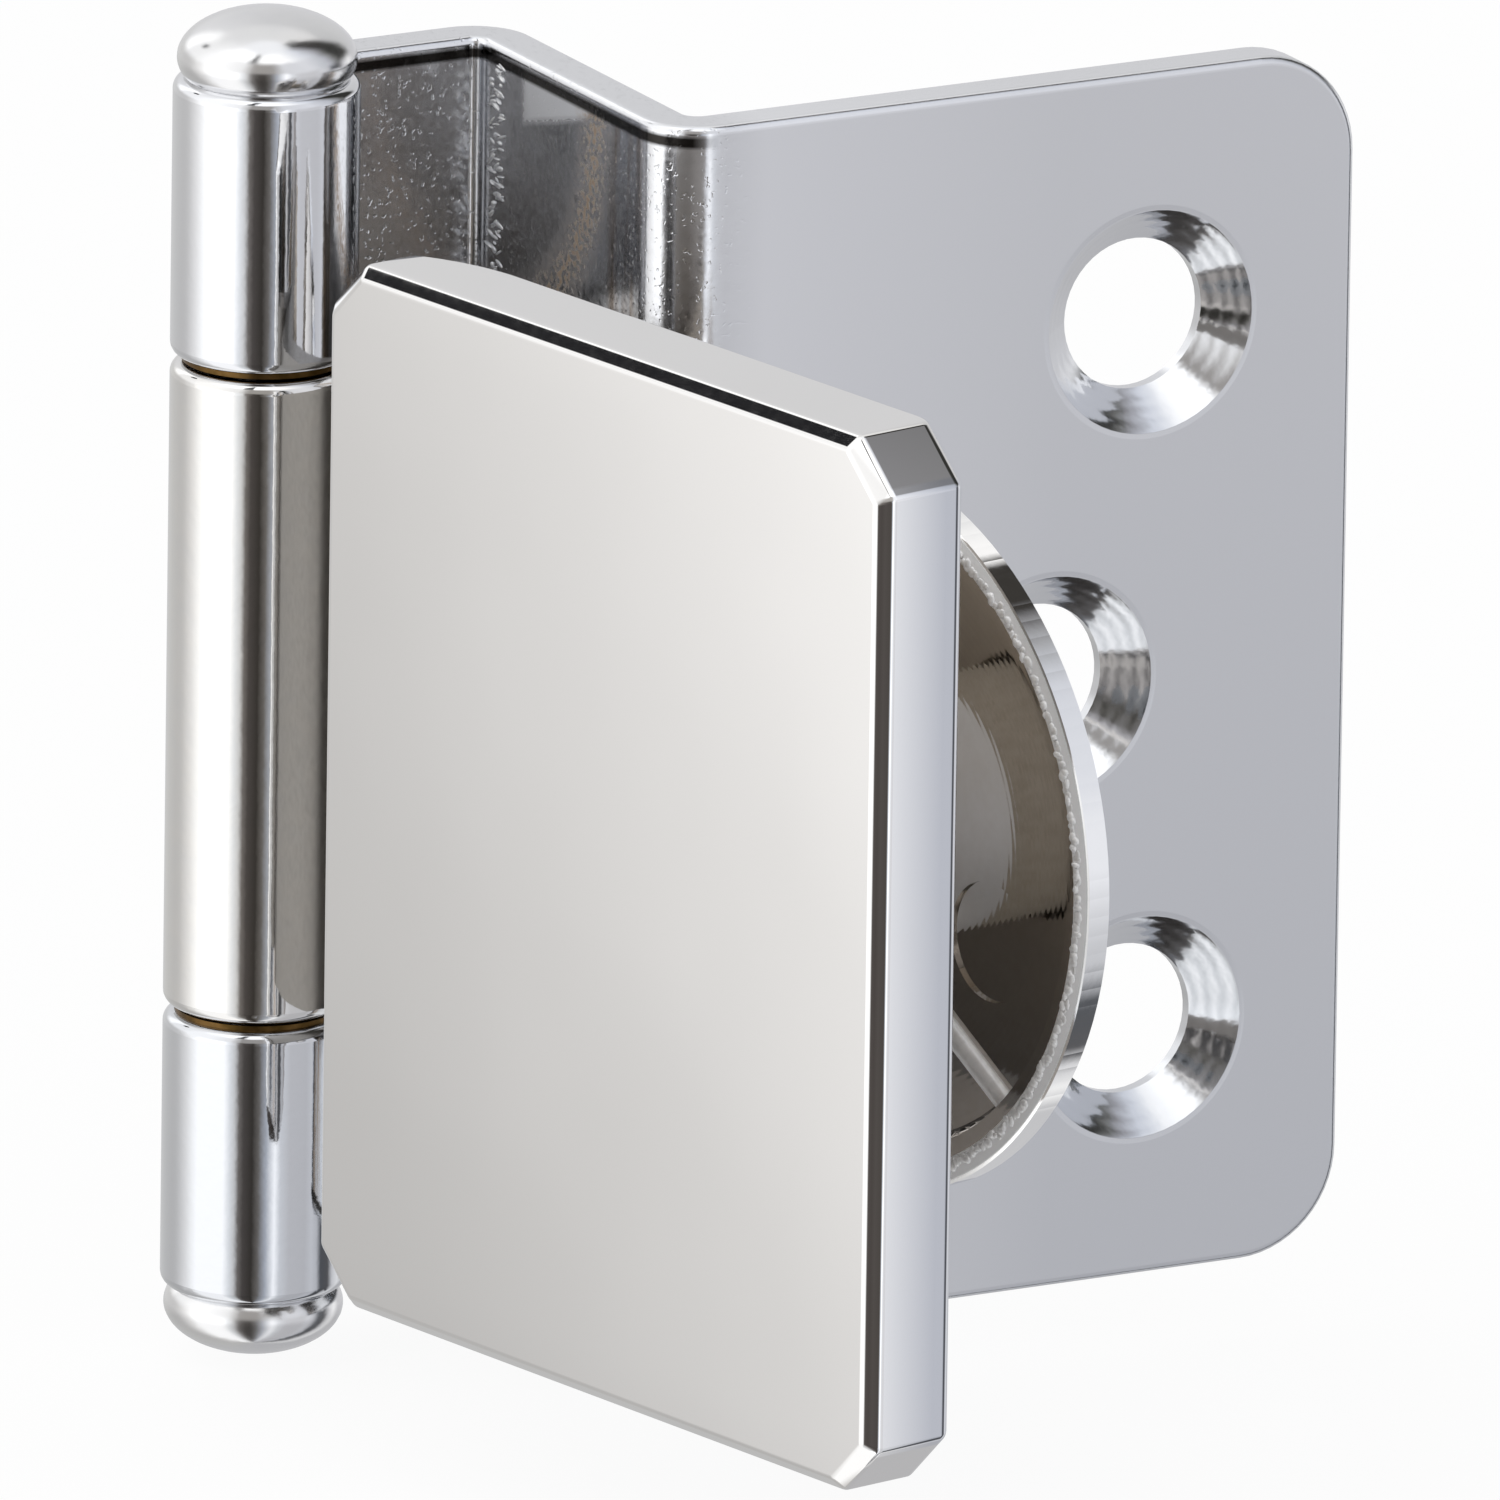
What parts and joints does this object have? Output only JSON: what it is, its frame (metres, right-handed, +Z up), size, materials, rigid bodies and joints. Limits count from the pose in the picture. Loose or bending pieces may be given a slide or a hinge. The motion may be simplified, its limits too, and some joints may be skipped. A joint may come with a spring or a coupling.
{
  "type": "glass door hinge",
  "caption": "Cranked leaf hinge for a glass cabinet door: screwed leaf, riveted knuckle pin, square cover plate outside and round clamping dish inside the glass.",
  "frame": {"origin": "on the back face of the screwed leaf, midway between its upper and lower screw holes", "axes": "+Y out of the leaf's back into the panel that carries it, +Z up along the pin, +X along the leaf away from the pin"},
  "size_m": [0.0457, 0.0513, 0.0556],
  "materials": {
    "leaf_chrome": "chromium-plated rolled steel sheet, satin on the flat leaf and bright on the knuckles",
    "pin_chrome": "bright chromium-plated riveted steel",
    "washer_brass": "plain brass shim",
    "cover_chrome": "bright chromium-plated zinc casting",
    "dish_chrome": "chromium-plated zinc casting, as cast inside",
    "screw_steel": "zinc-plated steel",
    "bush_plastic": "moulded soft plastic",
    "pad_plastic": "soft die-cut sheet"
  },
  "bodies": {
    "cabinet_side": {"cabinet_leaf": "leaf_chrome", "hinge_pin": "pin_chrome", "shim_washer_upper": "washer_brass", "shim_washer_lower": "washer_brass"},
    "door_side": {"door_leaf": "leaf_chrome", "cover_plate": "cover_chrome", "clamp_dish": "dish_chrome", "clamp_screw": "screw_steel", "glass_bush": "bush_plastic", "glass_pad": "pad_plastic"}
  },
  "joints": [
    {"name": "door_swing", "type": "hinge", "parent": "cabinet_side", "child": "door_side", "pos_m": [-0.0323, 0.0124, 0], "axis": [0, 0, -1], "range_deg": [-1, 190]}
  ]
}
